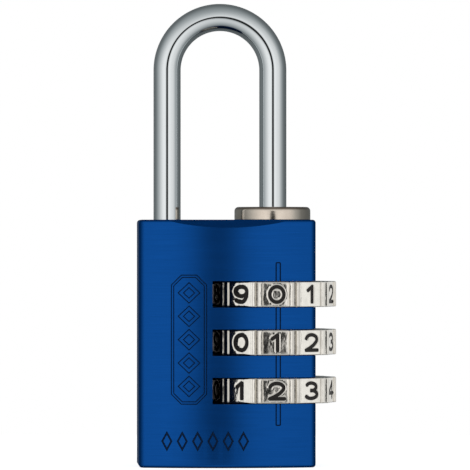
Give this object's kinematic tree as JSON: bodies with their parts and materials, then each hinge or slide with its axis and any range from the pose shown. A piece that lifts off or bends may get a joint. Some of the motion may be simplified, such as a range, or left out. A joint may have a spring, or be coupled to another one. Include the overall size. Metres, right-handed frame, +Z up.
{
  "type": "combination padlock",
  "caption": "Small combination padlock with side dials, a collared sliding shackle and a convex anodised body.",
  "frame": {"origin": "middle of the body's flat underside", "axes": "+Z up along the shackle's legs, -Y towards the front with the index line, +X towards the side where the dials stand out"},
  "size_m": [0.0223, 0.0138, 0.0519],
  "materials": {
    "anodised_body": "blue anodised, finely brushed from side to side",
    "polished_wire": "bright plated",
    "collar_plate": "brown nickel-plated brass, satin",
    "dial_plate": "nickel-plated, satin, digits filled with black paint",
    "plain_brass": "as turned",
    "spring_steel": "drawn or stamped steel"
  },
  "bodies": {
    "case": {"body_case": "anodised_body", "collar": "collar_plate", "spacer_tube": "plain_brass", "pilot_bush": "plain_brass", "reset_spring": "spring_steel", "click_spring_top": "spring_steel", "click_spring_middle": "spring_steel", "click_spring_bottom": "spring_steel"},
    "shackle": {"shackle": "polished_wire", "locking_pin_top": "spring_steel", "locking_pin_middle": "spring_steel", "locking_pin_bottom": "spring_steel"},
    "dial_top": {"dial_wheel_top": "dial_plate"},
    "dial_middle": {"dial_wheel_middle": "dial_plate"},
    "dial_bottom": {"dial_wheel_bottom": "dial_plate"},
    "sleeve_top": {"gate_sleeve_top": "plain_brass"},
    "sleeve_middle": {"gate_sleeve_middle": "plain_brass"},
    "sleeve_bottom": {"gate_sleeve_bottom": "plain_brass"},
    "washer_upper": {"separator_upper": "spring_steel"},
    "washer_lower": {"separator_lower": "spring_steel"},
    "washer_thrust": {"thrust_washer": "spring_steel"}
  },
  "joints": [
    {"name": "shackle_lift", "type": "slide", "parent": "case", "child": "shackle", "axis": [0, 0, 1], "range_m": [0, 0.00537]},
    {"name": "dial_top_turn", "type": "hinge", "parent": "case", "child": "dial_top", "pos_m": [0.0053, 0, 0.01934], "axis": [0, 0, 1], "continuous": true, "deforming": ["click_spring_top"]},
    {"name": "dial_middle_turn", "type": "hinge", "parent": "case", "child": "dial_middle", "pos_m": [0.0053, 0, 0.01396], "axis": [0, 0, 1], "continuous": true, "deforming": ["click_spring_middle"]},
    {"name": "dial_bottom_turn", "type": "hinge", "parent": "case", "child": "dial_bottom", "pos_m": [0.0053, 0, 0.00859], "axis": [0, 0, 1], "continuous": true, "deforming": ["click_spring_bottom"]},
    {"name": "sleeve_top_reset", "type": "slide", "parent": "dial_top", "child": "sleeve_top", "axis": [0, 0, -1], "range_m": [0, 0.0009], "stiffness_N_per_m": 320, "springref_m": -0.001},
    {"name": "sleeve_middle_reset", "type": "slide", "parent": "dial_middle", "child": "sleeve_middle", "axis": [0, 0, -1], "range_m": [0, 0.0009]},
    {"name": "sleeve_bottom_reset", "type": "slide", "parent": "dial_bottom", "child": "sleeve_bottom", "axis": [0, 0, -1], "range_m": [0, 0.0009]},
    {"name": "washer_upper_reset", "type": "slide", "parent": "case", "child": "washer_upper", "axis": [0, 0, -1], "range_m": [0, 0.0009]},
    {"name": "washer_lower_reset", "type": "slide", "parent": "case", "child": "washer_lower", "axis": [0, 0, -1], "range_m": [0, 0.0009]},
    {"name": "washer_thrust_reset", "type": "slide", "parent": "case", "child": "washer_thrust", "axis": [0, 0, -1], "range_m": [0, 0.0009], "deforming": ["reset_spring"]}
  ],
  "couplings": [
    {"joint": "sleeve_middle_reset", "follows": "sleeve_top_reset", "ratio": 1},
    {"joint": "sleeve_bottom_reset", "follows": "sleeve_top_reset", "ratio": 1},
    {"joint": "washer_upper_reset", "follows": "sleeve_top_reset", "ratio": 1},
    {"joint": "washer_lower_reset", "follows": "sleeve_top_reset", "ratio": 1},
    {"joint": "washer_thrust_reset", "follows": "sleeve_top_reset", "ratio": 1}
  ]
}
